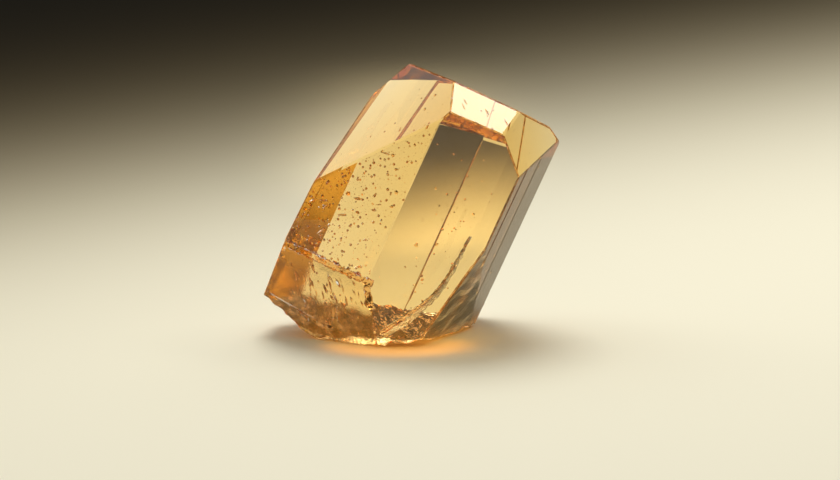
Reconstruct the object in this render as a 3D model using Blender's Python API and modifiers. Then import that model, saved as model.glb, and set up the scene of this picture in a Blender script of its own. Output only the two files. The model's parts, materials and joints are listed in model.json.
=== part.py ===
"""Leaning topaz crystal: one clear, faceted stone that rests on its broken foot.

The stone is cut out of a block. Each flat face is given by the tilt of its
outward normal from the crystal's long axis, by the azimuth of the normal around
that axis (0 faces the front, 90 the right, 180 the back), and by its distance
from the crystal's centre. Broken faces are cut the same way with a bumpy tool.
Then growth ridges, a ledge, chips, a healed crack and etch pits are cut into
the faces, and the edges are worn.

Lengths are in millimetres until the finished crystal is scaled to metres. The
crystal is modelled in its own frame (X right, Y back, Z along its long axis),
and is then leaned over to stand on its foot.
"""
import math
import random
from collections import namedtuple

import bmesh
import bpy
from mathutils import Matrix, Vector, noise

MM = 0.001
NODE = "crystal"

# How the crystal stands
LEAN_RIGHT = 24.0        # degrees, long axis towards +X
TIP_FORWARD = 3.8        # degrees, long axis towards -Y
CENTRE_HEIGHT = 6.42     # the crystal's centre above the surface it rests on
BLOCK = 40.0             # side of the block that the faces are cut from

Facet = namedtuple("Facet", "tilt azimuth distance")

SMOOTH_FACES = {
    # the prism
    "front_left": Facet(90, -24, 4.55),
    "front_right": Facet(90, 10, 4.05),
    "right_skin": Facet(90, 70, 4.75),
    "right_side": Facet(90, 94, 5.5),
    "back_right": Facet(78.6, 122, 6.53),
    "back": Facet(93.5, -176, 3.7),
    "back_left": Facet(92.7, -147, 4.55),
    "left_side": Facet(88, -108, 5.1),
    # the top
    "roof_left": Facet(64.7, -60.4, 5.84),
    "roof_end": Facet(32.4, 12.9, 8.14),
    "roof_right": Facet(56.2, 54.3, 7.1),
    "roof_back": Facet(15, 177, 7.42),
    "left_tip": Facet(68, -113, 6.38),
    "right_tip": Facet(34, 140.5, 8.0),
    "upper_back": Facet(50.6, -171.5, 6.4),
}

# Broken faces: the height of their bumps and the width of one bump
Break = namedtuple("Break", "facet height width")

BROKEN_FACES = {
    "foot_front": Break(Facet(108, -22.5, 5.3), 0.02, 1.3),
    "foot_left": Break(Facet(163, -77, 8.5), 0.30, 1.4),
    "foot_right": Break(Facet(148, 64, 6.65), 0.25, 1.2),
    "foot_back": Break(Facet(140, 168, 6.2), 0.22, 0.9),
    "low_right_skin": Break(Facet(98, 59, 4.85), 0.03, 0.7),
}
BREAK_GRID = 0.42        # spacing of a bumpy tool's points
BREAK_SPAN = 11.0        # side of a bumpy tool
BREAK_DEPTH = 4.0        # thickness of a bumpy tool
BREAK_MARGIN = 0.6       # how far out the flat cut stays, in bump heights
FINE_BUMPS = (2.3, 0.45)  # the finer bumps: how much closer, and how high beside the coarse ones
BUMP_SHIFT = 7.3         # sets one tool's bumps apart from the next one's

# The underside: hollows between the spots that the stone stands on
FOOT_HOLLOW = 0.26       # height of the hollows' waves
FOOT_WAVE = 1.5          # width of one wave
FOOT_PAD = 1.3           # radius of the flat spot that bears most of the weight
FOOT_PAD_RISE = 2.0      # how surely the spot stays flat, in wave heights
FOOT_PAD_PLACE = (-0.9, -0.4)
FOOT_SEED = 9

EDGE_WEAR = (0.03, 0.10)  # least and most width of a worn edge

# Growth ridges: grooves along the long axis, cut into the natural skin
Grooves = namedtuple("Grooves", "face count first last depth width")
GROOVES = (
    Grooves("right_skin", 2, -1.6, 2.4, 0.06, 0.20),
    Grooves("right_side", 3, -1.8, 2.4, 0.05, 0.22),
)

# The back is stepped: a ramp sinks from the back's left edge to a sharp step
STEP_PLACE = -1.2        # across the back face
STEP_RAMP = 3.9          # width of the ramp
STEP_DEPTH = 0.13
STEP_RISE = 0.05         # width of the steep side of the step
STEP_REACH = 3.0         # how far past the stone the tool's sides run on, as a multiple

# A healed crack that comes out of the front right face: across and up on the face
CRACK_PATH = ((2.02, 1.1), (1.95, -0.6), (1.62, -2.5), (0.95, -3.9), (-0.25, -5.7))
CRACK_RADIUS = (0.03, 0.11)  # of the tube at the crack's upper and lower end
CRACK_SINK = 0.45        # how high the tube's middle lies above the face, in radii

PITS = {"front_left": 26, "front_right": 9, "right_skin": 8, "roof_left": 6, "left_side": 6}
PIT_RADIUS = (0.07, 0.15)
PIT_LIFT = (0.45, 0.70)  # how high a pit's middle lies above the face, in radii
PIT_GAP = 0.60           # least distance between two pits
PIT_TRIES = 40           # tries for each pit
PIT_MARGIN = 0.94        # share of a face that pits can take

# The ledge where the front left face breaks off: chips in a row, on the foot's side
CREST_CHIPS = 24
CREST_END = 1.6          # how far the ledge turns down along the front right face
CREST_DROP = 0.20        # how far the chips sit below the ridge
CHIP_SIZE = (0.55, 0.30, 0.26)

# Shell-shaped bites around the foot's rim: how many, their least and most radius, how
# far out their middles lie (in radii), and how much likelier they are along the front
Bites = namedtuple("Bites", "count least most lift front_share")
RIM_BITES = (
    Bites(4, 1.1, 1.5, (0.80, 0.88), 8.0),
    Bites(36, 0.35, 0.85, (0.62, 0.80), 3.0),
)


def axis_frame():
    """The crystal's frame in the world: right, back and long axis as columns."""
    lean = math.radians(LEAN_RIGHT)
    tip = math.radians(TIP_FORWARD)
    long_axis = Vector((math.sin(lean) * math.cos(tip), -math.sin(tip), math.cos(lean) * math.cos(tip)))
    back = Vector((0.0, 1.0, 0.0))
    back = (back - long_axis * back.dot(long_axis)).normalized()
    right = back.cross(long_axis)
    return Matrix((right, back, long_axis)).transposed()


def facet_normal(facet):
    """Outward normal of a face."""
    tilt = math.radians(facet.tilt)
    azimuth = math.radians(facet.azimuth)
    return Vector((math.sin(tilt) * math.sin(azimuth), -math.sin(tilt) * math.cos(azimuth), math.cos(tilt)))


def facet_named(name):
    """The face with this name, smooth or broken."""
    return SMOOTH_FACES[name] if name in SMOOTH_FACES else BROKEN_FACES[name].facet


def facet_frame(name):
    """A face's own frame: across, up the stone, and outwards as columns, at its foot point."""
    facet = facet_named(name)
    outward = facet_normal(facet)
    up = Vector((0.0, 0.0, 1.0))
    up = (up - outward * up.dot(outward)).normalized()
    across = up.cross(outward)
    frame = Matrix((across, up, outward)).transposed().to_4x4()
    frame.translation = outward * facet.distance
    return frame


def corner(*names):
    """The point where three faces meet."""
    normals = [facet_normal(facet_named(name)) for name in names]
    distances = Vector([facet_named(name).distance for name in names])
    return Matrix(normals).inverted() @ distances


def floor_frame():
    """The resting surface in the crystal's frame, outward axis downwards."""
    turn = axis_frame().transposed()
    right, back, down = turn @ Vector((1, 0, 0)), turn @ Vector((0, 1, 0)), turn @ Vector((0, 0, -1))
    frame = Matrix((right, -back, down)).transposed().to_4x4()
    frame.translation = down * CENTRE_HEIGHT
    return frame


def cut_plane(block, point, outward):
    """Cut away what lies outside a plane, and close the cut with one face."""
    parts = block.verts[:] + block.edges[:] + block.faces[:]
    cut = bmesh.ops.bisect_plane(
        block, geom=parts, dist=1e-6, plane_co=point, plane_no=outward, clear_outer=True)
    rim = [part for part in cut["geom_cut"] if isinstance(part, bmesh.types.BMEdge)]
    if rim:
        bmesh.ops.contextual_create(block, geom=rim)


def wear_edges(block, luck):
    """Give each edge its own width of wear."""
    layer = block.edges.layers.float.new("bevel_weight_edge")
    for edge in block.edges:
        edge[layer] = luck.uniform(EDGE_WEAR[0], EDGE_WEAR[1]) / EDGE_WEAR[1]


def make_object(name, shape, collection):
    """Turn a bmesh into an object in a collection."""
    mesh = bpy.data.meshes.new(name)
    shape.to_mesh(mesh)
    shape.free()
    thing = bpy.data.objects.new(name, mesh)
    collection.objects.link(thing)
    return thing


def bumpy_tool(frame, height, width, seed, pad=None):
    """A slab with a bumpy sheet on the frame's XY plane; it removes what lies outside."""
    steps = round(BREAK_SPAN / BREAK_GRID)
    shape = bmesh.new()
    bmesh.ops.create_grid(shape, x_segments=steps, y_segments=steps, size=BREAK_SPAN / 2)
    sheet = shape.verts[:]
    raised = bmesh.ops.extrude_face_region(shape, geom=shape.faces[:])
    lid = [part for part in raised["geom"] if isinstance(part, bmesh.types.BMVert)]
    bmesh.ops.translate(shape, verts=lid, vec=(0, 0, BREAK_DEPTH))
    for vert in sheet:
        place = Vector((vert.co.x / width, vert.co.y / width, seed * BUMP_SHIFT))
        bump = noise.noise(place) + FINE_BUMPS[1] * noise.noise(place * FINE_BUMPS[0])
        if pad:
            away = (vert.co.xy - Vector(pad)).length
            bump += FOOT_PAD_RISE * max(0.0, 1.0 - away / FOOT_PAD)
        vert.co.z += height * bump
    bmesh.ops.transform(shape, matrix=frame, verts=shape.verts)
    bmesh.ops.recalc_face_normals(shape, faces=shape.faces)
    return shape


def join(shapes):
    """Put several closed shapes in one bmesh."""
    whole = bmesh.new()
    for shape in shapes:
        piece = bpy.data.meshes.new("piece")
        shape.to_mesh(piece)
        shape.free()
        whole.from_mesh(piece)
        bpy.data.meshes.remove(piece)
    return whole


def find_face(block, name):
    """The block's flat face with this name."""
    outward = facet_normal(facet_named(name))
    return max(block.faces, key=lambda face: face.normal.dot(outward))


def spread_over(face, count, luck):
    """Points spread over a convex face, well apart and clear of its edges."""
    corners = [vert.co.copy() for vert in face.verts]
    middle = face.calc_center_median()
    chosen = []
    for _ in range(count * PIT_TRIES):
        shares = [luck.random() ** 3 for _ in corners]
        total = sum(shares)
        point = sum((spot * (share / total) for spot, share in zip(corners, shares)), Vector())
        point = middle + (point - middle) * PIT_MARGIN
        if all((point - other).length > PIT_GAP for other in chosen):
            chosen.append(point)
        if len(chosen) == count:
            break
    return chosen


def pit_tool(block, luck):
    """Small round bites, strewn over the etched faces."""
    bites = []
    for name, count in PITS.items():
        face = find_face(block, name)
        for point in spread_over(face, count, luck):
            radius = luck.uniform(*PIT_RADIUS)
            bite = bmesh.new()
            bmesh.ops.create_icosphere(bite, subdivisions=1, radius=radius)
            size = (luck.uniform(0.8, 1.5), luck.uniform(0.8, 1.3), 1.0)
            bmesh.ops.scale(bite, vec=size, verts=bite.verts)
            turn = Matrix.Rotation(luck.uniform(0, math.pi), 4, "Z")
            rise = Matrix.Translation(face.normal * radius * luck.uniform(*PIT_LIFT))
            seat = face.normal.to_track_quat("Z", "Y").to_matrix().to_4x4() @ turn
            bmesh.ops.transform(bite, matrix=Matrix.Translation(point) @ rise @ seat, verts=bite.verts)
            bites.append(bite)
    return join(bites)


def groove_tool(luck):
    """Long diamond bars whose lower halves cut the growth ridges."""
    bars = []
    for grooves in GROOVES:
        frame = facet_frame(grooves.face)
        spacing = (grooves.last - grooves.first) / grooves.count
        for index in range(grooves.count):
            along = grooves.first + spacing * (index + luck.uniform(-0.3, 0.3))
            bar = bmesh.new()
            bmesh.ops.create_cone(
                bar, cap_ends=True, segments=4, radius1=1.0, radius2=luck.uniform(0.5, 1.0), depth=1.0)
            bmesh.ops.rotate(bar, matrix=Matrix.Rotation(math.pi / 2, 3, "X"), verts=bar.verts)
            size = (
                0.5 * grooves.width * luck.uniform(0.6, 1.2),
                luck.uniform(9.0, 20.0),
                grooves.depth * luck.uniform(0.5, 1.0),
            )
            bmesh.ops.scale(bar, vec=size, verts=bar.verts)
            shift = Vector((along, luck.uniform(-4.0, 4.0), 0.0))
            bmesh.ops.transform(bar, matrix=frame @ Matrix.Translation(shift), verts=bar.verts)
            bars.append(bar)
    return bars


def step_tool():
    """A long wedge that sinks the ramp and the step into the back."""
    frame = facet_frame("back")
    wedge = bmesh.new()
    bmesh.ops.create_cone(wedge, cap_ends=True, segments=3, radius1=1.0, radius2=1.0, depth=BLOCK)
    bmesh.ops.rotate(wedge, matrix=Matrix.Rotation(math.pi / 2, 3, "X"), verts=wedge.verts)
    low, high, tip = (STEP_PLACE, -STEP_DEPTH), (STEP_PLACE + STEP_RAMP, 0.0), (STEP_PLACE - STEP_RISE, 0.0)
    rise = Vector(high) - Vector(low)
    rows = {}
    for vert in wedge.verts:
        rows.setdefault((round(vert.co.x, 3), round(vert.co.z, 3)), []).append(vert)
    ends = (
        Vector(low),
        Vector(low) + rise * STEP_REACH,
        Vector(low) + (Vector(tip) - Vector(low)) * STEP_REACH,
    )
    for (_, verts), end in zip(sorted(rows.items()), ends):
        for vert in verts:
            vert.co.x, vert.co.z = end
    bmesh.ops.transform(wedge, matrix=frame, verts=wedge.verts)
    bmesh.ops.recalc_face_normals(wedge, faces=wedge.faces)
    return wedge


def crack_tool(collection):
    """A bent tube along the crack, wider downwards; its lower half opens the crack's mouth."""
    curve = bpy.data.curves.new("crack_line", "CURVE")
    curve.dimensions = "3D"
    curve.bevel_depth = 1.0
    curve.bevel_resolution = 1
    curve.use_fill_caps = True
    curve.resolution_u = 4
    line = curve.splines.new("NURBS")
    line.points.add(len(CRACK_PATH) - 1)
    frame = facet_frame("front_right")
    for index, (across, up) in enumerate(CRACK_PATH):
        share = index / (len(CRACK_PATH) - 1)
        radius = CRACK_RADIUS[0] + (CRACK_RADIUS[1] - CRACK_RADIUS[0]) * share
        line.points[index].radius = radius
        line.points[index].co = (*(frame @ Vector((across, up, CRACK_SINK * radius))), 1.0)
    line.use_endpoint_u = True
    line.order_u = 3
    guide = bpy.data.objects.new("crack_line", curve)
    collection.objects.link(guide)
    bpy.context.view_layer.update()
    mesh = bpy.data.meshes.new_from_object(guide.evaluated_get(bpy.context.evaluated_depsgraph_get()))
    bpy.data.objects.remove(guide)
    tube = bmesh.new()
    tube.from_mesh(mesh)
    bpy.data.meshes.remove(mesh)
    bmesh.ops.remove_doubles(tube, verts=tube.verts, dist=1e-5)
    bmesh.ops.recalc_face_normals(tube, faces=tube.faces)
    return tube


def crest_tool(luck):
    """A row of turned chips along the break between the front faces and the foot."""
    start = corner("front_left", "left_side", "foot_front")
    turn = corner("front_left", "front_right", "foot_front")
    ridge = facet_normal(facet_named("front_right")).cross(facet_normal(facet_named("foot_front")))
    end = turn - ridge.normalized() * math.copysign(CREST_END, ridge.z)
    outward = facet_normal(facet_named("front_left")) + facet_normal(facet_named("foot_front"))
    outward.normalize()
    down = Vector((0.0, 0.0, -1.0))
    foot_side = down - outward * down.dot(outward)
    lengths = ((turn - start).length, (end - turn).length)
    chips = []
    for index in range(CREST_CHIPS):
        share = (index + luck.uniform(0.2, 0.8)) / CREST_CHIPS * sum(lengths)
        if share < lengths[0]:
            place = start.lerp(turn, share / lengths[0])
            run = turn - start
        else:
            place = turn.lerp(end, (share - lengths[0]) / lengths[1])
            run = end - turn
        chip = bmesh.new()
        bmesh.ops.create_cube(chip, size=1.0)
        size = [side * luck.uniform(0.7, 1.4) for side in CHIP_SIZE]
        bmesh.ops.scale(chip, vec=size, verts=chip.verts)
        roll = Matrix.Rotation(luck.uniform(-0.5, 0.5), 4, "X")
        tilt = roll @ Matrix.Rotation(luck.uniform(-0.3, 0.3), 4, "Z")
        seat = run.to_track_quat("X", "Z").to_matrix().to_4x4()
        shift = Matrix.Translation(place + foot_side * CREST_DROP + outward * luck.uniform(-0.02, 0.06))
        bmesh.ops.transform(chip, matrix=shift @ seat @ tilt, verts=chip.verts)
        chips.append(chip)
    return chips


def rim_tool(block, luck):
    """Round bites at the rim of the foot, most of them along its front."""
    down = floor_frame().to_3x3() @ Vector((0, 0, 1))
    front = floor_frame().to_3x3() @ Vector((0, 1, 0))
    foot = max(block.faces, key=lambda face: face.normal.dot(down))
    edges = sorted(foot.edges, key=lambda edge: edge.calc_length(), reverse=True)
    bites = []
    for row in RIM_BITES:
        weights = []
        for edge in edges:
            wall = max(edge.link_faces, key=lambda face: -face.normal.dot(down))
            weights.append(edge.calc_length() * (row.front_share if wall.normal.dot(front) > 0.5 else 1.0))
        for edge in luck.choices(edges, weights, k=row.count):
            point = edge.verts[0].co.lerp(edge.verts[1].co, luck.uniform(0.05, 0.95))
            outward = (edge.link_faces[0].normal + edge.link_faces[1].normal).normalized()
            radius = luck.uniform(row.least, row.most)
            bite = bmesh.new()
            bmesh.ops.create_icosphere(bite, subdivisions=2, radius=radius)
            size = (1.0, luck.uniform(0.7, 1.3), luck.uniform(0.8, 1.1))
            bmesh.ops.scale(bite, vec=size, verts=bite.verts)
            spin = Matrix.Rotation(luck.uniform(0, math.tau), 4, outward)
            shift = Matrix.Translation(point + outward * radius * luck.uniform(*row.lift))
            bmesh.ops.transform(bite, matrix=shift @ spin, verts=bite.verts)
            bites.append(bite)
    return bites


def topaz():
    """Clear orange-gold topaz."""
    material = bpy.data.materials.new("topaz")
    material.use_nodes = True
    shader = material.node_tree.nodes["Principled BSDF"]
    shader.inputs["Base Color"].default_value = (0.95, 0.62, 0.22, 1.0)
    shader.inputs["Roughness"].default_value = 0.03
    shader.inputs["Metallic"].default_value = 0.0
    shader.inputs["IOR"].default_value = 1.62
    shader.inputs["Transmission Weight"].default_value = 1.0
    return material


def carve(stone, name, shape, collection):
    """Cut a tool's shape out of the stone."""
    tool = make_object(name, shape, collection)
    tool.hide_render = True
    tool.display_type = "WIRE"
    cut = stone.modifiers.new(name, "BOOLEAN")
    cut.operation = "DIFFERENCE"
    cut.solver = "MANIFOLD"
    cut.object = tool


def build():
    """Make the crystal and stand it on its foot."""
    for old in list(bpy.data.objects):
        bpy.data.objects.remove(old)
    crystals = bpy.data.collections.new("topaz_crystal")
    tools = bpy.data.collections.new("cutting_tools")
    bpy.context.scene.collection.children.link(crystals)
    bpy.context.scene.collection.children.link(tools)
    luck = random.Random(17)

    block = bmesh.new()
    bmesh.ops.create_cube(block, size=BLOCK)
    for facet in SMOOTH_FACES.values():
        cut_plane(block, facet_normal(facet) * facet.distance, facet_normal(facet))
    for broken in BROKEN_FACES.values():
        outward = facet_normal(broken.facet)
        cut_plane(block, outward * (broken.facet.distance + BREAK_MARGIN * broken.height), outward)
    floor = floor_frame()
    cut_plane(block, floor.translation, floor.to_3x3() @ Vector((0, 0, 1)))
    wear_edges(block, luck)
    pits = pit_tool(block, luck)
    rim = rim_tool(block, luck)

    rough = make_object("rough_crystal", block, crystals)
    wear = rough.modifiers.new("worn_edges", "BEVEL")
    wear.width = EDGE_WEAR[1]
    wear.segments = 1
    wear.limit_method = "WEIGHT"
    for seed, (name, broken) in enumerate(BROKEN_FACES.items(), 1):
        carve(rough, name, bumpy_tool(facet_frame(name), broken.height, broken.width, seed), tools)
    hollows = bumpy_tool(floor, FOOT_HOLLOW, FOOT_WAVE, FOOT_SEED, FOOT_PAD_PLACE)
    carve(rough, "foot_hollows", hollows, tools)
    carve(rough, "back_step", step_tool(), tools)
    for index, bar in enumerate(groove_tool(luck)):
        carve(rough, f"growth_ridge_{index}", bar, tools)
    for index, chip in enumerate(crest_tool(luck)):
        carve(rough, f"crest_chip_{index}", chip, tools)
    carve(rough, "crack_mouth", crack_tool(tools), tools)
    for index, bite in enumerate(rim):
        carve(rough, f"rim_bite_{index}", bite, tools)
    carve(rough, "etch_pits", pits, tools)

    bpy.context.view_layer.update()
    carved = rough.evaluated_get(bpy.context.evaluated_depsgraph_get())
    mesh = bpy.data.meshes.new_from_object(carved)
    mesh.name = NODE
    mesh.transform(Matrix.Scale(MM, 4) @ axis_frame().to_4x4())
    low = [min(vert.co[axis] for vert in mesh.vertices) for axis in range(3)]
    high = [max(vert.co[axis] for vert in mesh.vertices) for axis in range(3)]
    middle = Vector(((low[0] + high[0]) / 2, (low[1] + high[1]) / 2, low[2]))
    mesh.transform(Matrix.Translation(-middle))
    mesh.materials.clear()
    mesh.materials.append(topaz())
    bpy.data.objects.remove(rough)
    crystal = bpy.data.objects.new(NODE, mesh)
    crystals.objects.link(crystal)


build()
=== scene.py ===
"""Looks of a clear orange-gold topaz crystal that leans on its broken foot.

The CAD crystal is copied and merged, and then the small forms that the plain solid
lacks are added as real geometry: fine etch pits, scratches, worn edges, an open crack
and the hackly surface of the broken foot. Each kind of surface gets its own clear
finish, and all of them share the stone's colour.

Sizes are in millimetres and are scaled to metres where a mesh is made. "Crystal
frame" means X right, Y back and Z along the crystal's long axis.
"""
import json
import logging
import math
import random
from dataclasses import dataclass, field
from enum import Enum

import bmesh
import bpy
from mathutils import Matrix, Vector, noise

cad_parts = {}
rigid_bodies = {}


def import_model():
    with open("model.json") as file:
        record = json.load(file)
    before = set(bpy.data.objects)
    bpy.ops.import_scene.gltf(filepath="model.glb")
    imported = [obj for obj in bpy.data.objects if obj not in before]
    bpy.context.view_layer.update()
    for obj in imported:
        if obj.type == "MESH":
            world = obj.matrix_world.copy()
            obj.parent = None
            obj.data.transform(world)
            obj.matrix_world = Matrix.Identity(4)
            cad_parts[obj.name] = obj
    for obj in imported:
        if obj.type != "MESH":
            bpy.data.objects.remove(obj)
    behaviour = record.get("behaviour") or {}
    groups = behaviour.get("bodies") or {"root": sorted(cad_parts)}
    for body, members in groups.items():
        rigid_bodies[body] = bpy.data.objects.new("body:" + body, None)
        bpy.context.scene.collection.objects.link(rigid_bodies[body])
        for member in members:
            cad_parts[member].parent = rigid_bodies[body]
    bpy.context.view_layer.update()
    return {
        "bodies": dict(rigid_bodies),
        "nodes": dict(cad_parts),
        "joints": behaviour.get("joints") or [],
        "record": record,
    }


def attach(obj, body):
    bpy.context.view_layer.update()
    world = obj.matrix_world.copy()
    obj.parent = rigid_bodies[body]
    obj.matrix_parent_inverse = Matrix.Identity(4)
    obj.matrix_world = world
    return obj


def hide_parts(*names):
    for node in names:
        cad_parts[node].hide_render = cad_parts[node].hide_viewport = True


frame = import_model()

LOG = logging.getLogger("topaz")
MM = 0.001
BODY = "root"
NODE = "crystal"
SEED = 5
TOUCH = 1e-3  # mm; a corner this near to a plane lies on it
MERGE = 1e-4  # mm; vertices this close are one
PARALLEL = 1e-3  # three planes with a smaller determinant have no sure corner


class Surface(Enum):
    """Kinds of surface on the stone."""

    POLISHED = 0
    FROSTED = 1
    SKIN = 2
    BROKEN = 3
    WORN = 4


@dataclass(frozen=True)
class Facet:
    """A flat or broken face, given in the crystal frame.

    Args:
        tilt: degrees between its outward normal and the long axis.
        azimuth: degrees around the long axis; 0 faces the front, 90 the right.
        distance: from the crystal's centre, in mm.
        surface: what the face is like.
    """

    tilt: float
    azimuth: float
    distance: float
    surface: Surface

    def normal(self) -> Vector:
        """Returns the outward normal in the crystal frame."""
        tilt, azimuth = math.radians(self.tilt), math.radians(self.azimuth)
        return Vector((
            math.sin(tilt) * math.sin(azimuth), -math.sin(tilt) * math.cos(azimuth), math.cos(tilt)))

    def frame(self) -> Matrix:
        """Returns the face's own frame at its foot point: across, up the stone and outwards."""
        outward = self.normal()
        up = Vector((0.0, 0.0, 1.0))
        up = (up - outward * up.dot(outward)).normalized()
        frame = Matrix((up.cross(outward), up, outward)).transposed().to_4x4()
        frame.translation = outward * self.distance
        return frame


FACETS: dict[str, Facet] = {
    "front_left": Facet(90, -24, 4.55, Surface.POLISHED),
    "front_right": Facet(90, 10, 4.05, Surface.POLISHED),
    "right_skin": Facet(90, 70, 4.75, Surface.SKIN),
    "right_side": Facet(90, 94, 5.5, Surface.SKIN),
    "back_right": Facet(78.6, 122, 6.53, Surface.POLISHED),
    "back": Facet(93.5, -176, 3.7, Surface.POLISHED),
    "back_left": Facet(92.7, -147, 4.55, Surface.POLISHED),
    "left_side": Facet(88, -108, 5.1, Surface.POLISHED),
    "roof_left": Facet(64.7, -60.4, 5.84, Surface.POLISHED),
    "roof_end": Facet(32.4, 12.9, 8.14, Surface.POLISHED),
    "roof_right": Facet(56.2, 54.3, 7.1, Surface.POLISHED),
    "roof_back": Facet(15, 177, 7.42, Surface.POLISHED),
    "left_tip": Facet(68, -113, 6.38, Surface.POLISHED),
    "right_tip": Facet(34, 140.5, 8.0, Surface.POLISHED),
    "upper_back": Facet(50.6, -171.5, 6.4, Surface.POLISHED),
    "foot_front": Facet(108, -22.5, 5.3, Surface.FROSTED),
    "foot_left": Facet(163, -77, 8.5, Surface.BROKEN),
    "foot_right": Facet(148, 64, 6.65, Surface.BROKEN),
    "foot_back": Facet(140, 168, 6.2, Surface.BROKEN),
    "low_right_skin": Facet(98, 59, 4.85, Surface.FROSTED),
}


@dataclass(frozen=True)
class Finish:
    """A clear finish of the stone.

    Args:
        surface: the kind of surface that it is for.
        roughness: of the shader.
        grain: width of one bump of the grain, in mm.
        relief: height of the grain, in mm.
        stretch: how much longer the grain is along the crystal than across it.
        sway: height of the long, gentle waves of the face, in mm.
        stain: colour that the surface lets through.
    """

    surface: Surface
    roughness: float
    grain: float
    relief: float
    stretch: float = 1.0
    sway: float = 0.0
    stain: tuple[float, float, float] = (1.0, 1.0, 1.0)


FINISHES: tuple[Finish, ...] = (
    Finish(Surface.POLISHED, roughness=0.0, grain=0.10, relief=0.0, sway=0.002),
    Finish(Surface.FROSTED, roughness=0.16, grain=0.09, relief=0.008, stain=(0.95, 0.78, 0.52)),
    Finish(Surface.SKIN, roughness=0.24, grain=0.09, relief=0.006, stretch=5.0, stain=(0.92, 0.62, 0.28)),
    Finish(Surface.BROKEN, roughness=0.22, grain=0.10, relief=0.008, stain=(0.95, 0.40, 0.14)),
    Finish(Surface.WORN, roughness=0.15, grain=0.12, relief=0.006, stain=(0.80, 0.46, 0.22)),
)

WAVE_WIDTH = 2.4  # width of a face's gentle waves, in mm
WAVE_DETAIL = 1.0
GRAIN_DETAIL = 3.0


@dataclass(frozen=True)
class Pose:
    """How the crystal stands.

    Args:
        lean_right: degrees that the long axis leans towards +X.
        tip_forward: degrees that it leans towards -Y.
    """

    lean_right: float = 24.0
    tip_forward: float = 3.8

    def turn(self) -> Matrix:
        """Returns the crystal frame's axes as columns, in the part's frame."""
        lean, tip = math.radians(self.lean_right), math.radians(self.tip_forward)
        long_axis = Vector((
            math.sin(lean) * math.cos(tip), -math.sin(tip), math.cos(lean) * math.cos(tip)))
        back = Vector((0.0, 1.0, 0.0))
        back = (back - long_axis * back.dot(long_axis)).normalized()
        return Matrix((back.cross(long_axis), back, long_axis)).transposed()


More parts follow.
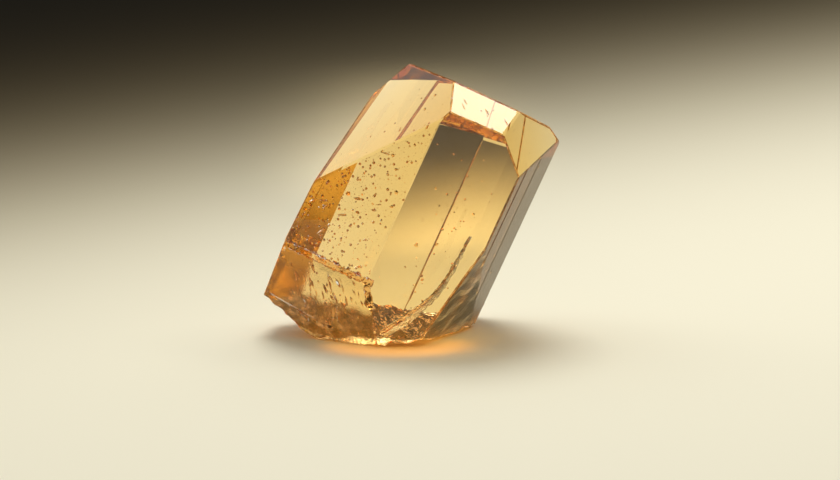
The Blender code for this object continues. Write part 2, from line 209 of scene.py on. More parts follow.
@dataclass
class TopazGlass:
    """The stone's colour and clearness, the same for each finish.

    Args:
        ior: refractive index of topaz.
        tint: colour that the absorption lets through.
        density: absorption for each metre.
    """

    ior: float = 1.62
    tint: tuple[float, float, float] = (0.985, 0.79, 0.24)
    density: float = 200.0

    def material(self, pose: Pose) -> bpy.types.Material:
        """Makes the stone's one material. Its finishes are mixed by the faces' attributes.

        Args:
            pose: turns the grain along the crystal.

        Returns:
            The new material.
        """
        material = bpy.data.materials.new("topaz")
        material.use_nodes = True
        tree = material.node_tree
        shader = tree.nodes["Principled BSDF"]
        shader.inputs["IOR"].default_value = self.ior
        shader.inputs["Transmission Weight"].default_value = 1.0
        absorption = tree.nodes.new("ShaderNodeVolumeAbsorption")
        absorption.inputs["Color"].default_value = (*self.tint, 1.0)
        absorption.inputs["Density"].default_value = self.density
        tree.links.new(absorption.outputs["Volume"], tree.nodes["Material Output"].inputs["Volume"])
        place = tree.nodes.new("ShaderNodeTexCoord").outputs["Object"]
        rough = height = colour = None
        for finish in FINISHES:
            attribute = tree.nodes.new("ShaderNodeAttribute")
            attribute.attribute_name = finish.surface.name.lower()
            mask = attribute.outputs["Fac"]
            colour = self._stain(tree, mask, finish.stain, colour)
            rough = self._add(tree, mask, finish.roughness, rough)
            masked = tree.nodes.new("ShaderNodeMath")
            masked.operation = "MULTIPLY"
            tree.links.new(mask, masked.inputs[0])
            tree.links.new(self._relief(tree, place, finish, pose), masked.inputs[1])
            height = self._add(tree, masked.outputs["Value"], 1.0, height)
        tree.links.new(colour, shader.inputs["Base Color"])
        tree.links.new(colour, shader.inputs["Specular Tint"])
        tree.links.new(rough, shader.inputs["Roughness"])
        bump = tree.nodes.new("ShaderNodeBump")
        bump.inputs["Distance"].default_value = MM
        tree.links.new(height, bump.inputs["Height"])
        tree.links.new(bump.outputs["Normal"], shader.inputs["Normal"])
        return material

    @staticmethod
    def _stain(
        tree: bpy.types.NodeTree, mask: bpy.types.NodeSocket, stain: tuple[float, float, float],
        colour: bpy.types.NodeSocket | None
    ) -> bpy.types.NodeSocket:
        """Gives the masked faces their stain.

        Args:
            tree: the material's node tree.
            mask: 1 on the faces that are stained.
            stain: their colour.
            colour: the other faces' colour so far, or None for clear.

        Returns:
            The socket of the new colour.
        """
        stained = tree.nodes.new("ShaderNodeMix")
        stained.data_type = "RGBA"
        stained.inputs["A"].default_value = (1.0, 1.0, 1.0, 1.0)
        stained.inputs["B"].default_value = (*stain, 1.0)
        tree.links.new(mask, stained.inputs["Factor"])
        if colour:
            tree.links.new(colour, stained.inputs["A"])
        return stained.outputs["Result"]

    @staticmethod
    def _add(
        tree: bpy.types.NodeTree, value: bpy.types.NodeSocket, factor: float,
        total: bpy.types.NodeSocket | None
    ) -> bpy.types.NodeSocket:
        """Adds a multiple of a value to a running total.

        Args:
            tree: the material's node tree.
            value: what is added.
            factor: what it is multiplied by.
            total: the total so far, or None.

        Returns:
            The socket of the new total.
        """
        step = tree.nodes.new("ShaderNodeMath")
        step.operation = "MULTIPLY_ADD"
        tree.links.new(value, step.inputs[0])
        step.inputs[1].default_value = factor
        step.inputs[2].default_value = 0.0
        if total:
            tree.links.new(total, step.inputs[2])
        return step.outputs["Value"]

    def _relief(
        self, tree: bpy.types.NodeTree, place: bpy.types.NodeSocket, finish: Finish, pose: Pose
    ) -> bpy.types.NodeSocket:
        """Makes the height of a finish's grain and gentle waves, in mm.

        Args:
            tree: the material's node tree.
            place: object coordinates.
            finish: the surface's values.
            pose: turns the grain along the crystal.

        Returns:
            The socket of the height.
        """
        along = tree.nodes.new("ShaderNodeMapping")
        along.vector_type = "TEXTURE"
        along.inputs["Rotation"].default_value = pose.turn().to_euler()
        along.inputs["Scale"].default_value = (1.0, 1.0, finish.stretch)
        tree.links.new(place, along.inputs["Vector"])
        waves = (WAVE_WIDTH, finish.sway, WAVE_DETAIL)
        grain = (finish.grain, finish.relief, GRAIN_DETAIL)
        total = None
        for width, relief, detail in (waves, grain):
            bumps = tree.nodes.new("ShaderNodeTexNoise")
            bumps.inputs["Scale"].default_value = 1.0 / (width * MM)
            bumps.inputs["Detail"].default_value = detail
            tree.links.new(along.outputs["Vector"], bumps.inputs["Vector"])
            total = self._add(tree, bumps.outputs["Fac"], relief, total)
        return total


CORNER_CUT = (0.25, 0.75)  # where a corner's two sides are cut


def smooth_path(points: list[Vector], rounds: int) -> list[Vector]:
    """Rounds a path by cutting off its corners again and again.

    Args:
        points: the path's corners.
        rounds: how often the corners are cut.

    Returns:
        The rounded path, with the same ends.
    """
    for _ in range(rounds):
        cut = [start.lerp(end, share) for start, end in zip(points, points[1:]) for share in CORNER_CUT]
        points = [points[0], *cut[1:-1], points[-1]]
    return points


@dataclass(frozen=True)
class Crack:
    """An open crack: a thin wedge that slants into the stone.

    Args:
        face: the face that it comes out of.
        path: points along its mouth, across and up on that face.
        mouth: width of its mouth at the path's start and end.
        depth: how deep it goes at the path's start and end.
        slant: how far its bottom lies to the left, for each mm of depth.
        lift: how far its cutting tool stands out of the face.
        uneven: least and most share of the depth that the bottom has.
        rounds: how often the path's corners are cut.
    """

    face: str = "front_right"
    path: tuple[tuple[float, float], ...] = (
        (2.02, 1.1), (1.95, -0.6), (1.62, -2.5), (0.95, -3.9), (-0.25, -5.7))
    mouth: tuple[float, float] = (0.02, 0.12)
    depth: tuple[float, float] = (0.25, 1.3)
    slant: float = -0.55
    lift: float = 0.02
    uneven: tuple[float, float] = (0.85, 1.15)
    rounds: int = 3

    def tool(self, luck: random.Random) -> bmesh.types.BMesh:
        """Makes the wedge that cuts the crack.

        Args:
            luck: makes the crack's bottom uneven.

        Returns:
            The closed wedge, in the crystal frame.
        """
        spine = smooth_path([Vector((*spot, 0.0)) for spot in self.path], self.rounds)
        last = len(spine) - 1
        wedge = bmesh.new()
        bmesh.ops.create_cone(wedge, cap_ends=True, segments=3, radius1=1.0, radius2=1.0, depth=1.0)
        sides = [edge for edge in wedge.edges if abs(edge.verts[0].co.z - edge.verts[1].co.z) > 0.5]
        bmesh.ops.subdivide_edges(wedge, edges=sides, cuts=last - 1)
        for vert in wedge.verts:  # from -0.5 to 0.5 along the cone; its third side is the crack's bottom
            index = round((vert.co.z + 0.5) * last)
            share = index / last
            ahead = spine[min(index + 1, last)] - spine[max(index - 1, 0)]
            left = Vector((ahead.y, -ahead.x, 0.0)).normalized()
            depth = (self.depth[0] * (1 - share) + self.depth[1] * share) * luck.uniform(*self.uneven)
            mouth = self.mouth[0] * (1 - share) + self.mouth[1] * share
            if vert.co.y > 0.5:
                vert.co = spine[index] + left * self.slant * depth - Vector((0.0, 0.0, depth))
            else:
                vert.co = spine[index] + left * math.copysign(mouth / 2, vert.co.x)
                vert.co.z = self.lift
        bmesh.ops.triangulate(wedge, faces=wedge.faces)
        bmesh.ops.transform(wedge, matrix=FACETS[self.face].frame(), verts=wedge.verts)
        bmesh.ops.recalc_face_normals(wedge, faces=wedge.faces)
        return wedge


@dataclass(frozen=True)
class Scratches:
    """Short straight scratches on a face.

    Args:
        face: the face.
        count: how many there are.
        length: least and most length, in mm.
        width: of a scratch, in mm.
        heading: of the scratches, in degrees from across the face.
        spread: how much their headings differ.
    """

    face: str
    count: int
    length: tuple[float, float]
    width: float
    heading: float
    spread: float


@dataclass(frozen=True)
class Bite:
    """An uneven ball that bites into the surface.

    Args:
        radius: least and most radius, in mm.
        lift: least and most height of its middle above the surface, in radii.
    """

    radius: tuple[float, float]
    lift: tuple[float, float]


BITE_STRETCH = ((0.7, 1.6), (0.7, 1.2), (0.7, 1.0))  # along, across and into the surface


@dataclass
class Crystal:
    """The stone itself: the CAD solid with its small forms added.

    Args:
        glass: the stone's colour.
        pose: how it stands.
        fine_pits: how many fine pits each face has.
        fine_pit: their size.
        pit_gap: least distance between two fine pits.
        pit_tries: tries for each pit.
        spread: how evenly random spots fill a face; higher gets further into its corners.
        edge_chips: how many small bites the worn edges have.
        edge_chip: their size.
        edge_span: share of an edge that they can take.
        shortest_edge: edges shorter than this have none.
        crest_chips: how many bites make the rough crest above the broken foot.
        crest_chip: their size.
        crack: the open crack.
        scratches: the rows of scratches.
        sorting: distance from a face's plane, and angle to it, that count as one step away.
        worn_past: steps away past which a triangle is worn.
        broken_past: the same beside a broken face.
        underside: least share of a triangle's normal that points down, for it to be broken.
        broken_step: longest edge of the mesh on broken surfaces.
        broken_rounds: how often the mesh is split there.
        broken_relief: depth of the hackly forms on broken surfaces.
        broken_width: width of one such form.
        broken_forms: how much closer and how high each size of form is, beside the coarsest.
        broken_sink: how far the forms sink into the stone, beside their height.
        luck: all random choices.
        centre: the crystal's centre, which build works out.
    """

    glass: TopazGlass = field(default_factory=TopazGlass)
    pose: Pose = field(default_factory=Pose)
    fine_pits: dict[str, int] = field(default_factory=lambda: {
        "front_left": 1200, "front_right": 150, "foot_front": 120, "roof_left": 50,
        "roof_end": 20, "left_side": 50, "back": 60, "back_left": 40, "roof_back": 40})
    fine_pit: Bite = Bite(radius=(0.012, 0.036), lift=(0.3, 0.7))
    pit_gap: float = 0.09
    pit_tries: int = 8
    spread: float = 2.5
    edge_chips: int = 150
    edge_chip: Bite = Bite(radius=(0.07, 0.22), lift=(0.45, 0.8))
    edge_span: tuple[float, float] = (0.03, 0.97)
    shortest_edge: float = 0.5
    crest_chips: int = 90
    crest_chip: Bite = Bite(radius=(0.08, 0.17), lift=(0.2, 0.6))
    crack: Crack = Crack()
    scratches: tuple[Scratches, ...] = (
        Scratches("foot_front", 80, (0.2, 0.8), 0.05, heading=-50, spread=16),
        Scratches("roof_end", 4, (0.5, 0.8), 0.06, heading=-60, spread=6),
        Scratches("front_left", 10, (0.3, 0.8), 0.04, heading=40, spread=30),
    )
    sorting: tuple[float, float] = (0.25, 25.0)
    worn_past: float = 1.0
    broken_past: float = 2.2
    underside: float = 0.8
    broken_step: float = 0.16
    broken_rounds: int = 6
    broken_relief: float = 0.055
    broken_width: float = 0.34
    broken_forms: tuple[tuple[float, float], ...] = ((1.0, 1.0), (2.7, 0.6), (6.1, 0.35))
    broken_sink: float = 0.8
    luck: random.Random = field(default_factory=lambda: random.Random(SEED))
    centre: Vector = field(default_factory=Vector)

    def build(self) -> bpy.types.Object:
        """Makes the finished stone.

        Returns:
            The piece, with its place in its mesh.
        """
        shape = self._merged_copy()
        self._find_centre(shape)
        stone = self._object("rough_topaz", shape)
        self._cut(stone, "fine_pits", self._pit_tool())
        self._cut(stone, "edge_chips", self._edge_tool())
        self._cut(stone, "crest", self._crest_tool())
        self._cut(stone, "scratches", self._scratch_tool())
        self._cut(stone, "crack", self.crack.tool(self.luck))
        bpy.context.view_layer.update()
        graph = bpy.context.evaluated_depsgraph_get()
        mesh = bpy.data.meshes.new_from_object(stone.evaluated_get(graph))
        for tool in [stone, *(cut.object for cut in stone.modifiers)]:
            bpy.data.objects.remove(tool)
        shape = bmesh.new()
        shape.from_mesh(mesh)
        bpy.data.meshes.remove(mesh)
        bmesh.ops.triangulate(shape, faces=shape.faces)
        self._sort_faces(shape)
        self._roughen(shape)
        self._to_metres(shape)
        kinds = [face.material_index for face in shape.faces]
        for face in shape.faces:
            face.material_index = 0
        crystal = self._object("topaz_crystal", shape)
        self._write_masks(crystal.data, kinds)
        crystal.data.materials.append(self.glass.material(self.pose))
        return crystal

    @staticmethod
    def _write_masks(mesh: bpy.types.Mesh, kinds: list[int]) -> None:
        """Stores which faces have which finish, one attribute for each finish.

        Args:
            mesh: the finished mesh.
            kinds: the kind of surface of each face.
        """
        for surface in Surface:
            mask = mesh.attributes.new(surface.name.lower(), "FLOAT", "FACE")
            mask.data.foreach_set("value", [1.0 if kind == surface.value else 0.0 for kind in kinds])

    def _merged_copy(self) -> bmesh.types.BMesh:
        """Returns a merged copy of the CAD mesh in the crystal frame, in mm."""
        shape = bmesh.new()
        shape.from_mesh(frame["nodes"][NODE].data)
        bmesh.ops.transform(
            shape, matrix=self.pose.turn().to_4x4().inverted() @ Matrix.Scale(1 / MM, 4),
            verts=shape.verts)
        bmesh.ops.remove_doubles(shape, verts=shape.verts, dist=MERGE)
        return shape

    def _find_centre(self, shape: bmesh.types.BMesh) -> None:
        """Works out where the crystal's centre lies, from three of its flat faces.

        Args:
            shape: the merged mesh; it is moved so that its centre is at the origin.
        """
        sure = [FACETS[name] for name in ("front_left", "front_right", "roof_left")]
        normals = [facet.normal() for facet in sure]
        reach = [max(vert.co.dot(normal) for vert in shape.verts) for normal in normals]
        offsets = Vector([far - facet.distance for far, facet in zip(reach, sure)])
        self.centre = Matrix(normals).inverted() @ offsets
        bmesh.ops.translate(shape, verts=shape.verts, vec=-self.centre)

    def _to_metres(self, shape: bmesh.types.BMesh) -> None:
        """Takes the mesh from the crystal frame to the part's frame, in metres.

        Args:
            shape: the mesh.
        """
        bmesh.ops.translate(shape, verts=shape.verts, vec=self.centre)
        bmesh.ops.transform(
            shape, matrix=Matrix.Scale(MM, 4) @ self.pose.turn().to_4x4(), verts=shape.verts)

    @staticmethod
    def _object(name: str, shape: bmesh.types.BMesh) -> bpy.types.Object:
        """Turns a bmesh into an object.

        Args:
            name: the object's name.
            shape: the mesh; it is freed.

        Returns:
            The new object.
        """
        mesh = bpy.data.meshes.new(name)
        shape.to_mesh(mesh)
        shape.free()
        thing = bpy.data.objects.new(name, mesh)
        bpy.context.scene.collection.objects.link(thing)
        return thing

    def _cut(self, stone: bpy.types.Object, name: str, shape: bmesh.types.BMesh) -> None:
        """Cuts a tool's shape out of the stone.

        The exact solver leaves open edges where many bites overlap, so this uses the manifold one.

        Args:
            stone: the object to cut.
            name: the tool's name.
            shape: closed shapes to take away.
        """
        cut = stone.modifiers.new(name, "BOOLEAN")
        cut.operation = "DIFFERENCE"
        cut.solver = "MANIFOLD"
        cut.object = self._object(name, shape)

    def _flat_corners(self, name: str) -> list[Vector]:
        """Finds the corners of a flat face where its plane meets the planes around it.

        Args:
            name: the face.

        Returns:
            The corners, in no order.
        """
        chosen = FACETS[name]
        others = [facet for key, facet in FACETS.items() if key != name]
        corners = []
        for index, first in enumerate(others):
            for second in others[index + 1:]:
                planes = Matrix((chosen.normal(), first.normal(), second.normal()))
                if abs(planes.determinant()) < PARALLEL:
                    continue
                point = planes.inverted() @ Vector((chosen.distance, first.distance, second.distance))
                if all(point.dot(facet.normal()) < facet.distance + MERGE for facet in FACETS.values()):
                    corners.append(point)
        return corners

    def _shared_edge(self, first: str, second: str) -> list[Vector]:
        """Finds the corners of a flat face that lie on a second face.

        Args:
            first: the flat face.
            second: the other face.

        Returns:
            The ends of the edge between the two, or too few corners where they don't meet.
        """
        other = FACETS[second]
        return [spot for spot in self._flat_corners(first)
                if abs(spot.dot(other.normal()) - other.distance) < TOUCH]

    def _spot(self, corners: list[Vector]) -> Vector:
        """Returns a random point of a flat face.

        Args:
            corners: the face's corners.
        """
        shares = [self.luck.random() ** self.spread for _ in corners]
        return sum((spot * share for spot, share in zip(corners, shares)), Vector()) / sum(shares)

    def _pit_tool(self) -> bmesh.types.BMesh:
        """Returns small pointed bites, strewn over the faces."""
        tool = bmesh.new()
        for name, count in self.fine_pits.items():
            corners = self._flat_corners(name)
            outward = FACETS[name].normal()
            chosen: list[Vector] = []
            for _ in range(count * self.pit_tries):
                spot = self._spot(corners)
                if len(chosen) < count and all((spot - far).length > self.pit_gap for far in chosen):
                    chosen.append(spot)
            for spot in chosen:
                radius = self.luck.uniform(*self.fine_pit.radius)
                self._bite(tool, spot, outward, radius, self.fine_pit.lift)
        return tool

    def _edge_tool(self) -> bmesh.types.BMesh:
        """Returns small bites along the worn edges."""
        tool = bmesh.new()
        names = list(FACETS)
        edges = []
        for index, first in enumerate(names):
            for second in names[index + 1:]:
                ends = self._shared_edge(first, second)
                if len(ends) >= 2 and (ends[0] - ends[-1]).length > self.shortest_edge:
                    outward = (FACETS[first].normal() + FACETS[second].normal()).normalized()
                    edges.append((ends[0], ends[-1], outward))
        lengths = [(start - end).length for start, end, _ in edges]
        for start, end, outward in self.luck.choices(edges, lengths, k=self.edge_chips):
            radius = self.luck.uniform(*self.edge_chip.radius)
            spot = start.lerp(end, self.luck.uniform(*self.edge_span))
            self._bite(tool, spot, outward, radius, self.edge_chip.lift)
        return tool

    def _crest_tool(self) -> bmesh.types.BMesh:
        """Returns small bites in a close row along the crest above the broken foot."""
        tool = bmesh.new()
        sides = ("front_left", "front_right")
        for name in sides:
            ends = self._shared_edge(name, "foot_front")
            outward = (FACETS[name].normal() + FACETS["foot_front"].normal()).normalized()
            for _ in range(self.crest_chips // len(sides)):
                radius = self.luck.uniform(*self.crest_chip.radius)
                spot = ends[0].lerp(ends[-1], self.luck.random())
                self._bite(tool, spot, outward, radius, self.crest_chip.lift)
        return tool

    def _scratch_tool(self) -> bmesh.types.BMesh:
        """Returns thin, long shapes that cut the scratches."""
        tool = bmesh.new()
        for row in self.scratches:
            corners = self._flat_corners(row.face)
            turn = FACETS[row.face].frame().to_3x3().to_4x4()
            for _ in range(row.count):
                heading = math.radians(row.heading + self.luck.uniform(-row.spread, row.spread))
                seat = Matrix.Translation(self._spot(corners)) @ turn @ Matrix.Rotation(heading, 4, "Z")
                length = self.luck.uniform(*row.length)
                size = Matrix.Diagonal((length / 2, row.width / 2, row.width / 2, 1.0))
                bmesh.ops.create_icosphere(tool, subdivisions=1, radius=1.0, matrix=seat @ size)
        return tool

    def _bite(
        self, tool: bmesh.types.BMesh, spot: Vector, outward: Vector, radius: float,
        lift: tuple[float, float]
    ) -> None:
        """Adds one uneven ball to a cutting tool.

        Args:
            tool: the mesh that it is added to.
            spot: its place on the surface.
            outward: the surface's normal there.
            radius: its radius.
            lift: least and most height of its middle above the surface, in radii.
        """
        middle = spot + outward * radius * self.luck.uniform(*lift)
        size = Matrix.Diagonal((*(self.luck.uniform(*stretch) for stretch in BITE_STRETCH), 1.0))
        spin = Matrix.Rotation(self.luck.uniform(0.0, math.tau), 4, "Z")
        seat = outward.to_track_quat("Z", "Y").to_matrix().to_4x4()
        bmesh.ops.create_icosphere(
            tool, subdivisions=1, radius=radius, matrix=Matrix.Translation(middle) @ seat @ spin @ size)

    def _down(self) -> Vector:
        """Returns the direction of gravity in the crystal frame."""
        return self.pose.turn().inverted() @ Vector((0.0, 0.0, -1.0))

    def _sort_faces(self, shape: bmesh.types.BMesh) -> None:
        """Marks each triangle with the kind of surface of the face that it belongs to.

        Args:
            shape: the triangulated mesh, in the crystal frame; its material indices take the kinds.
        """
        rows = [(facet.normal(), facet.distance, facet.surface) for facet in FACETS.values()]
        down = self._down()
        far, wide = self.sorting
        for face in shape.faces:
            face.normal_update()
            middle = face.calc_center_median()
            steps, surface = math.inf, Surface.WORN
            for normal, distance, kind in rows:
                angle = math.degrees(math.acos(max(-1.0, min(1.0, face.normal.dot(normal)))))
                away = abs(distance - middle.dot(normal)) / far + angle / wide
                if away < steps:
                    steps, surface = away, kind
            if face.normal.dot(down) > self.underside:
                surface = Surface.BROKEN
            elif steps > (self.broken_past if surface is Surface.BROKEN else self.worn_past):
                surface = Surface.WORN
            face.material_index = surface.value

    def _roughen(self, shape: bmesh.types.BMesh) -> None:
        """Splits the broken surfaces finely and gives them a hackly relief.

        Args:
            shape: the triangulated and sorted mesh, in the crystal frame.
        """
        rough = {Surface.BROKEN.value, Surface.WORN.value}
        for _ in range(self.broken_rounds):
            edges = [
                edge for edge in shape.edges
                if edge.calc_length() > self.broken_step
                and edge.link_faces
                and all(face.material_index in rough for face in edge.link_faces)]
            if not edges:
                break
            bmesh.ops.subdivide_edges(shape, edges=edges, cuts=1)
            bmesh.ops.triangulate(shape, faces=[face for face in shape.faces if len(face.verts) > 3])
        down = self._down()
        lowest = max(vert.co.dot(down) for vert in shape.verts)
        shape.normal_update()
        moves = []
        for vert in shape.verts:
            resting = vert.co.dot(down) > lowest - TOUCH
            if resting or not {face.material_index for face in vert.link_faces} <= rough:
                continue
            place = vert.co / self.broken_width
            height = sum(share * noise.noise(place * closer) for closer, share in self.broken_forms)
            moves.append((vert, vert.normal * (self.broken_relief * (height - self.broken_sink))))
        for vert, move in moves:
            vert.co += move


@dataclass(frozen=True)
class Dome:
    """A very wide softbox, as a bright part of the world.

    Args:
        azimuth: of its middle, in degrees; 0 is behind the stone, 90 to the right.
        elevation: of its middle.
        radius: its half angle.
        low: elevation of its lower edge.
        soft: how far its round edge is blurred to each side, in radians.
        low_soft: how far its lower edge is blurred downwards and upwards, in radians.
        radiance: its brightness.
        colour: its colour.
    """

    azimuth: float = -15.0
    elevation: float = 50.0
    radius: float = 52.0
    low: float = 18.0
    soft: float = 0.09
    low_soft: tuple[float, float] = (0.04, 0.08)
    radiance: float = 1.25
    colour: tuple[float, float, float] = (1.0, 0.97, 0.92)


def area_light(
    name: str, width: float, depth: float, radiance: float, colour: tuple[float, float, float]
) -> bpy.types.Object:
    """Adds an elliptical light that the camera doesn't see.

    Args:
        name: its name.
        width: its width, in mm.
        depth: its depth, in mm.
        radiance: its brightness.
        colour: its colour.

    Returns:
        The light's object.
    """
    lamp = bpy.data.lights.new(name, "AREA")
    lamp.shape = "ELLIPSE"
    lamp.size, lamp.size_y = width * MM, depth * MM
    lamp.color = colour
    lamp.energy = radiance * math.pi * math.pi * lamp.size * lamp.size_y / 4
    light = bpy.data.objects.new(name, lamp)
    bpy.context.scene.collection.objects.link(light)
    light.visible_camera = False
    return light


@dataclass(frozen=True)
class Lamp:
    """A round soft light that faces the stone.

    Args:
        name: its name.
        azimuth: where it is, in degrees; 0 is behind the stone, 90 to the right.
        elevation: how high it is.
        distance: from the stone, in mm.
        size: its diameter, in mm.
        radiance: its brightness.
        colour: its colour.
    """

    name: str
    azimuth: float
    elevation: float
    distance: float
    size: float
    radiance: float
    colour: tuple[float, float, float] = (1.0, 0.98, 0.94)

    def build(self) -> None:
        """Adds the light to the scene."""
        light = area_light(self.name, self.size, self.size, self.radiance, self.colour)
        light.location = direction(self.azimuth, self.elevation) * self.distance * MM
        light.rotation_euler = (-light.location).to_track_quat("-Z", "Y").to_euler()


@dataclass(frozen=True)
class FloorLight:
    """An elliptical light over the floor, hidden from the camera, mirror images and the stone's inside.

    Args:
        name: its name.
        place: its middle, in mm.
        height: above the floor.
        size: its width and depth, in mm.
        spread: how wide its light opens, in degrees.
        radiance: its brightness.
        colour: its colour.
    """

    name: str
    place: tuple[float, float]
    height: float
    size: tuple[float, float]
    spread: float
    radiance: float
    colour: tuple[float, float, float]

    def build(self) -> None:
        """Adds the light to the scene."""
        light = area_light(self.name, *self.size, self.radiance, self.colour)
        light.data.spread = math.radians(self.spread)
        light.location = (*(part * MM for part in self.place), self.height * MM)
        light.visible_glossy = light.visible_transmission = False


def direction(azimuth: float, elevation: float) -> Vector:
    """Points from the stone towards a light.

    Args:
        azimuth: in degrees; 0 is behind the stone, 90 to the right.
        elevation: in degrees.

    Returns:
        The unit vector.
    """
    turn, rise = math.radians(azimuth), math.radians(elevation)
    return Vector((math.cos(rise) * math.sin(turn), math.cos(rise) * math.cos(turn), math.sin(rise)))


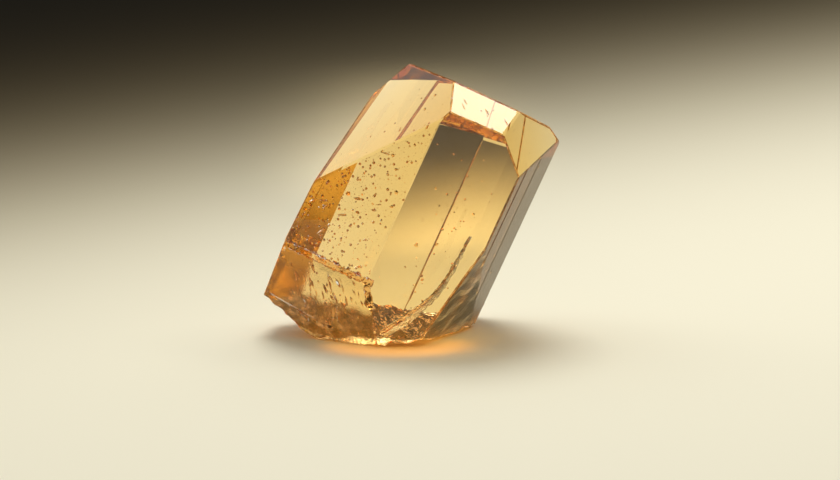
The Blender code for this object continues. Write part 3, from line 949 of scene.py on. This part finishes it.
@dataclass
class Studio:
    """The pale floor, the soft light and the camera.

    Args:
        reach: half the floor's width, in mm.
        floor_drop: how far the floor lies below the stone, so that the two don't touch, in mm.
        floor_roughness: of the floor's shader.
        pale: the floor's colour.
        lens: the camera's focal length, in mm.
        distance: from the camera to the point that it aims at, in mm.
        elevation: degrees that the camera looks down.
        aim: the point that it aims at, in mm.
        dim: the world's own light.
        dome: the very wide softbox above and behind the stone.
        lamps: the smaller soft lights.
        pools: pools of light on the floor: one in front of the stone's foot, in place of the
            warm light that the stone throws there, and one behind it that lights it through.
        painted_shade_slope: how far back the floor's painted fade into the dark moves for each mm to the
            right.
        painted_shade_start: how far behind the stone the floor's colour is half as bright, in mm; this fade
            is painted shade in place of the light's falloff.
        painted_shade_width: distance over which the painted fade grows by a factor of e, in mm.
        painted_shade_rest: share of the floor's colour that never fades.
        painted_shade_warmth: powers of the painted fade for red, green and blue; the floor's painted dim
            part is warmer.
    """

    dim: tuple[float, float, float] = (0.05, 0.047, 0.042)
    dome: Dome = Dome()
    lamps: tuple[Lamp, ...] = (
        Lamp("overhead", azimuth=0, elevation=68, distance=170, size=90, radiance=8.0),
        Lamp("right_key", azimuth=75, elevation=50, distance=180, size=36, radiance=6.6),
    )
    pools: tuple[FloorLight, ...] = (
        FloorLight(
            "foot_glow", place=(-0.8, -2.9), height=1.3, size=(7.6, 5.0), spread=120, radiance=0.85,
            colour=(1.0, 0.36, 0.0)),
        FloorLight(
            "behind", place=(-1.0, 62.0), height=26.0, size=(9.0, 50.0), spread=36, radiance=1.4,
            colour=(1.0, 0.90, 0.70)),
    )
    # painted shade: the floor's colour darkens and warms behind the stone, in place of the light's falloff
    painted_shade_slope: float = 0.9
    painted_shade_start: float = 53.0
    painted_shade_width: float = 16.0
    painted_shade_rest: float = 0.012
    painted_shade_warmth: tuple[float, float, float] = (1.0, 1.07, 1.2)
    reach: float = 2000.0
    floor_drop: float = 0.02
    floor_roughness: float = 0.8
    pale: tuple[float, float, float] = (0.82, 0.79, 0.64)
    lens: float = 200.0
    distance: float = 254.4
    elevation: float = 11.9
    aim: tuple[float, float, float] = (0.47, 0.18, 5.19)

    def build(self) -> None:
        """Makes the floor, the world, the lights and the camera."""
        bpy.context.scene.view_settings.view_transform = "Standard"
        self._floor()
        self._world()
        for lamp in (*self.lamps, *self.pools):
            lamp.build()
        self._camera()

    def _floor(self) -> None:
        """Makes the pale floor, whose colour darkens far from the stone: painted shade in place of the
        light's falloff.
        """
        shape = bmesh.new()
        bmesh.ops.create_grid(shape, x_segments=1, y_segments=1, size=self.reach * MM)
        bmesh.ops.translate(shape, verts=shape.verts, vec=(0.0, 0.0, -self.floor_drop * MM))
        mesh = bpy.data.meshes.new("floor")
        shape.to_mesh(mesh)
        shape.free()
        floor = bpy.data.objects.new("floor", mesh)
        bpy.context.scene.collection.objects.link(floor)
        material = bpy.data.materials.new("pale_floor")
        material.use_nodes = True
        tree = material.node_tree
        shader = tree.nodes["Principled BSDF"]
        shader.inputs["Roughness"].default_value = self.floor_roughness
        shader.inputs["Specular IOR Level"].default_value = 0.0
        place = tree.nodes.new("ShaderNodeTexCoord").outputs["Object"]
        # painted shade: the floor's base colour darkens and warms with distance behind the stone, in place
        # of the light's falloff
        behind = tree.nodes.new("ShaderNodeVectorMath")
        behind.operation = "DOT_PRODUCT"
        behind.inputs[1].default_value = Vector((-self.painted_shade_slope, 1.0, 0.0)) / (self.painted_shade_width * MM)
        tree.links.new(place, behind.inputs[0])
        past = self._math(tree, "SUBTRACT", behind.outputs["Value"], self.painted_shade_start / self.painted_shade_width)
        whole = self._math(tree, "ADD", self._math(tree, "EXPONENT", past), 1.0)
        colour = tree.nodes.new("ShaderNodeCombineColor")
        for channel, warmth, part in zip(("Red", "Green", "Blue"), self.painted_shade_warmth, self.pale):
            dimmed = self._math(tree, "ADD", self._math(tree, "POWER", whole, -warmth), self.painted_shade_rest)
            tree.links.new(self._math(tree, "MULTIPLY", dimmed, part), colour.inputs[channel])
        tree.links.new(colour.outputs["Color"], shader.inputs["Base Color"])
        floor.data.materials.append(material)

    def _world(self) -> None:
        """Makes a dim world with one very wide softbox behind and above the stone."""
        world = bpy.data.worlds.new("studio")
        bpy.context.scene.world = world
        world.use_nodes = True
        tree = world.node_tree
        shader = tree.nodes["Background"]
        place = tree.nodes.new("ShaderNodeTexCoord")
        towards = tree.nodes.new("ShaderNodeVectorMath")
        towards.operation = "DOT_PRODUCT"
        towards.inputs[1].default_value = direction(self.dome.azimuth, self.dome.elevation)
        height = tree.nodes.new("ShaderNodeSeparateXYZ")
        tree.links.new(place.outputs["Generated"], towards.inputs[0])
        tree.links.new(place.outputs["Generated"], height.inputs["Vector"])
        half = math.radians(self.dome.radius)
        low = math.radians(self.dome.low)
        below, above = self.dome.low_soft
        cap = self._ramp(
            tree, towards.outputs["Value"], math.cos(half + self.dome.soft), math.cos(half - self.dome.soft))
        edge = self._ramp(tree, height.outputs["Z"], math.sin(low - below), math.sin(low + above))
        both = tree.nodes.new("ShaderNodeMath")
        both.operation = "MULTIPLY"
        tree.links.new(cap, both.inputs[0])
        tree.links.new(edge, both.inputs[1])
        colour = tree.nodes.new("ShaderNodeMix")
        colour.data_type = "RGBA"
        colour.inputs["A"].default_value = (*self.dim, 1.0)
        colour.inputs["B"].default_value = (*(self.dome.radiance * part for part in self.dome.colour), 1.0)
        tree.links.new(both.outputs["Value"], colour.inputs["Factor"])
        tree.links.new(colour.outputs["Result"], shader.inputs["Color"])

    @staticmethod
    def _math(
        tree: bpy.types.NodeTree, operation: str, first: bpy.types.NodeSocket, second: float = 0.0
    ) -> bpy.types.NodeSocket:
        """Adds one sum to a node tree.

        Args:
            tree: the node tree.
            operation: the Math node's operation.
            first: its first value.
            second: its second value, a number.

        Returns:
            The socket of the result.
        """
        step = tree.nodes.new("ShaderNodeMath")
        step.operation = operation
        tree.links.new(first, step.inputs[0])
        step.inputs[1].default_value = second
        return step.outputs["Value"]

    def _ramp(
        self, tree: bpy.types.NodeTree, value: bpy.types.NodeSocket, low: float, high: float
    ) -> bpy.types.NodeSocket:
        """Adds a smooth step to a node tree.

        Args:
            tree: the node tree.
            value: the value that is stepped.
            low: where the step begins.
            high: where it ends.

        Returns:
            The socket that goes from 0 to 1.
        """
        step = tree.nodes.new("ShaderNodeMapRange")
        step.interpolation_type = "SMOOTHSTEP"
        step.inputs["From Min"].default_value = low
        step.inputs["From Max"].default_value = high
        tree.links.new(value, step.inputs["Value"])
        return step.outputs["Result"]

    def _camera(self) -> None:
        """Makes the camera."""
        optics = bpy.data.cameras.new("camera")
        optics.lens = self.lens
        optics.clip_start = 0.005
        camera = bpy.data.objects.new("camera", optics)
        bpy.context.scene.collection.objects.link(camera)
        down = math.radians(self.elevation)
        away = Vector((0.0, -math.cos(down), math.sin(down))) * self.distance
        camera.location = (Vector(self.aim) + away) * MM
        camera.rotation_euler = (math.pi / 2 - down, 0.0, 0.0)
        bpy.context.scene.camera = camera


def main() -> None:
    """Builds the stone and the studio, in order."""
    logging.basicConfig(level=logging.INFO, format="%(message)s")
    crystal = Crystal().build()
    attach(crystal, BODY)
    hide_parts(NODE)
    LOG.info("%s: %d triangles", crystal.name, len(crystal.data.polygons))
    Studio().build()


if __name__ == "__main__":
    main()
